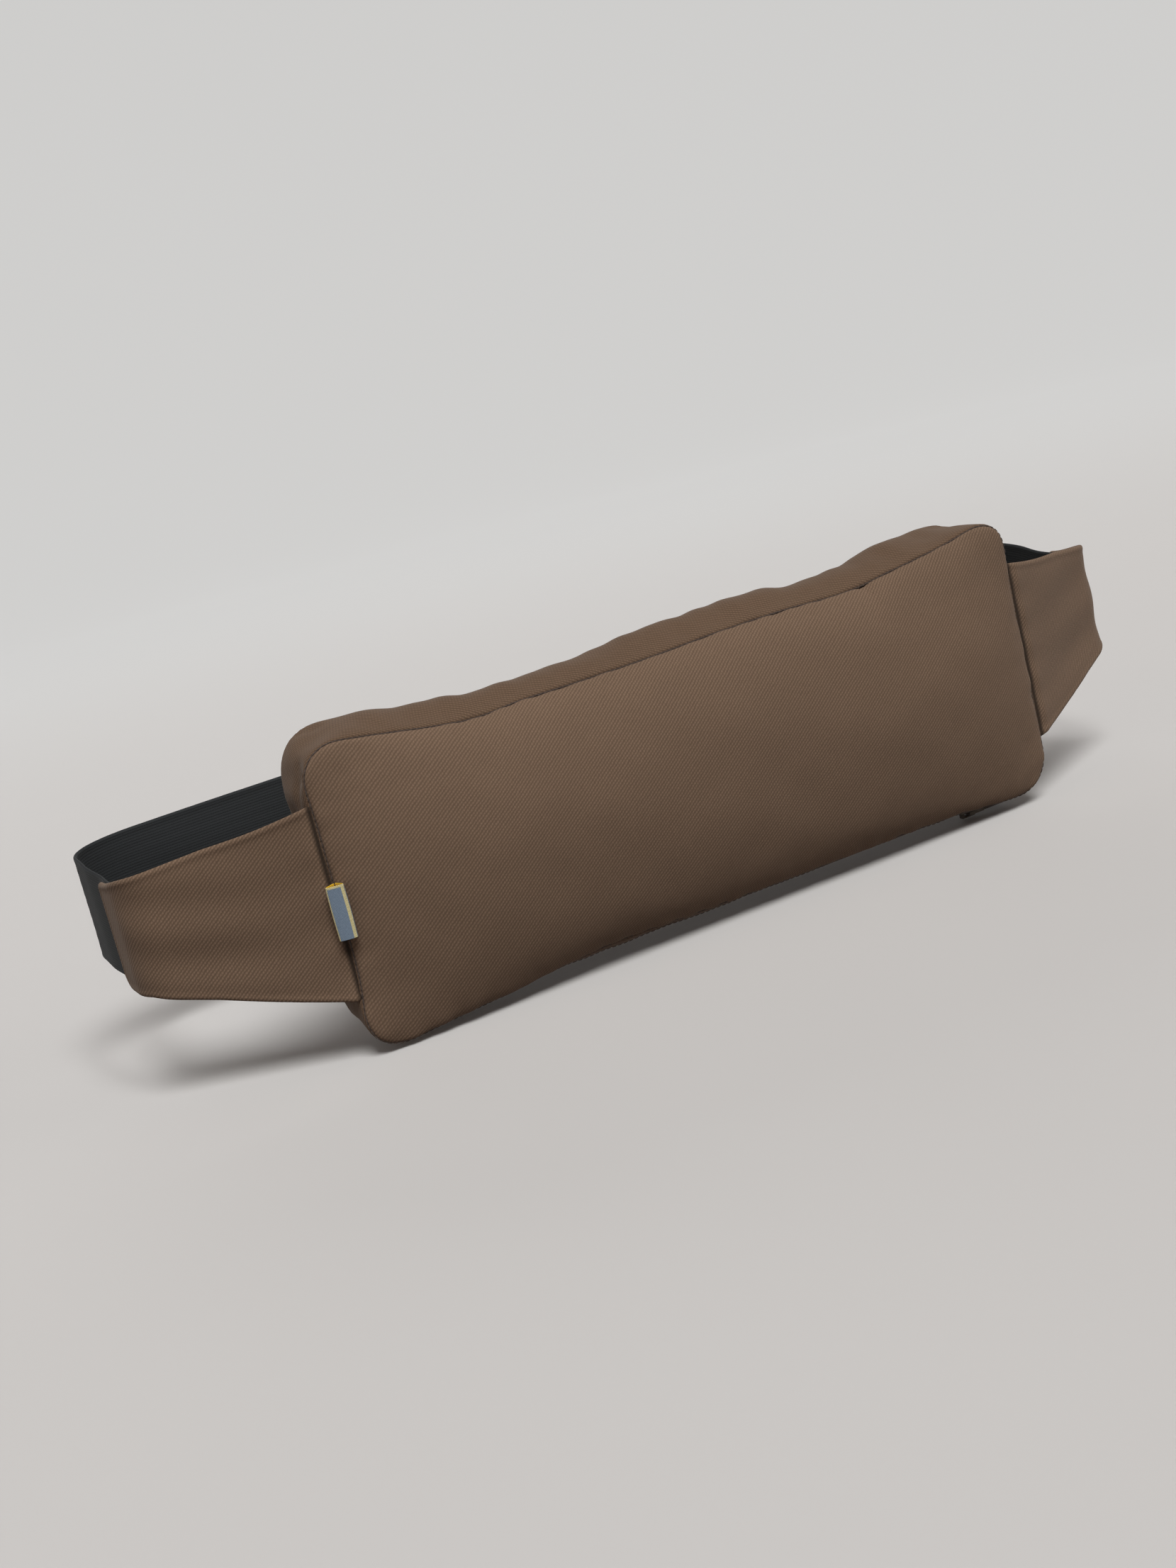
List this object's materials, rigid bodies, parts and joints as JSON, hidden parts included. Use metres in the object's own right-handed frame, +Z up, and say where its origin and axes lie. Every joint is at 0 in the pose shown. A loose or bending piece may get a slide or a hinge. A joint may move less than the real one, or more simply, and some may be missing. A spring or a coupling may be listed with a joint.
{
  "type": "lumbar support belt",
  "caption": "Long box-shaped lumbar cushion in brown twill with tapered cloth wings and a wide black elastic belt that fastens behind a chair's backrest.",
  "frame": {"origin": "centre of the cushion's flat back face, where it rests on the front of the backrest", "axes": "+X along the cushion to the viewer's right, +Y out of the back face into the backrest, +Z up"},
  "size_m": [0.5422, 0.1774, 0.1431],
  "materials": {
    "brown_twill": "matte",
    "wing_lining": "matte",
    "calico": "matte",
    "husk": "matte",
    "label_ribbon": "satin",
    "zip_tape": "matte",
    "zip_coil": "satin",
    "zip_metal": "satin",
    "black_elastic": "matte",
    "hook_tape": "matte",
    "loop_tape": "matte"
  },
  "bodies": {
    "root": {"front_panel": "brown_twill", "back_panel": "brown_twill", "boxing_strip": "brown_twill", "zip_strip_front": "brown_twill", "zip_strip_back": "brown_twill", "zip_tape_front": "zip_tape", "zip_tape_back": "zip_tape", "zip_coil_front": "zip_coil", "zip_coil_back": "zip_coil", "zip_top_stop_front": "zip_metal", "zip_top_stop_back": "zip_metal", "zip_bottom_stop": "zip_metal", "inner_bag_front": "calico", "inner_bag_back": "calico", "husk_fill": "husk", "side_label": "label_ribbon"},
    "slider": {"zip_slider": "zip_metal"},
    "pull": {"zip_pull": "zip_metal"},
    "right_wing": {"wing_right_face": "brown_twill", "wing_right_lining": "wing_lining"},
    "right_belt": {"elastic_right": "black_elastic", "hook_patch": "hook_tape"},
    "left_wing": {"wing_left_face": "brown_twill", "wing_left_lining": "wing_lining"},
    "left_belt": {"elastic_left": "black_elastic", "loop_patch": "loop_tape"}
  },
  "joints": [
    {"name": "slider_travel", "type": "slide", "parent": "root", "child": "slider", "axis": [1, 0, 0], "range_m": [-0.292, 0]},
    {"name": "pull_flip", "type": "hinge", "parent": "slider", "child": "pull", "pos_m": [0.146, -0.018, -0.07075], "axis": [0, 1, 0], "range_deg": [0, 180]},
    {"name": "right_wing_swing", "type": "hinge", "parent": "root", "child": "right_wing", "pos_m": [0.1894, -0.0352, 0], "axis": [0, 0, 1], "range_deg": [-90, 0]},
    {"name": "right_belt_swing", "type": "hinge", "parent": "right_wing", "child": "right_belt", "pos_m": [0.2686, 0.042, 0], "axis": [0, 0, 1], "range_deg": [-90, 0]},
    {"name": "left_wing_swing", "type": "hinge", "parent": "root", "child": "left_wing", "pos_m": [-0.1894, -0.0352, 0], "axis": [0, 0, 1], "range_deg": [0, 36]},
    {"name": "left_belt_swing", "type": "hinge", "parent": "left_wing", "child": "left_belt", "pos_m": [-0.2686, 0.042, 0], "axis": [0, 0, 1], "range_deg": [0, 36]}
  ],
  "couplings": [
    {"joint": "left_wing_swing", "follows": "right_wing_swing", "ratio": -0.4},
    {"joint": "left_belt_swing", "follows": "right_belt_swing", "ratio": -0.4}
  ]
}
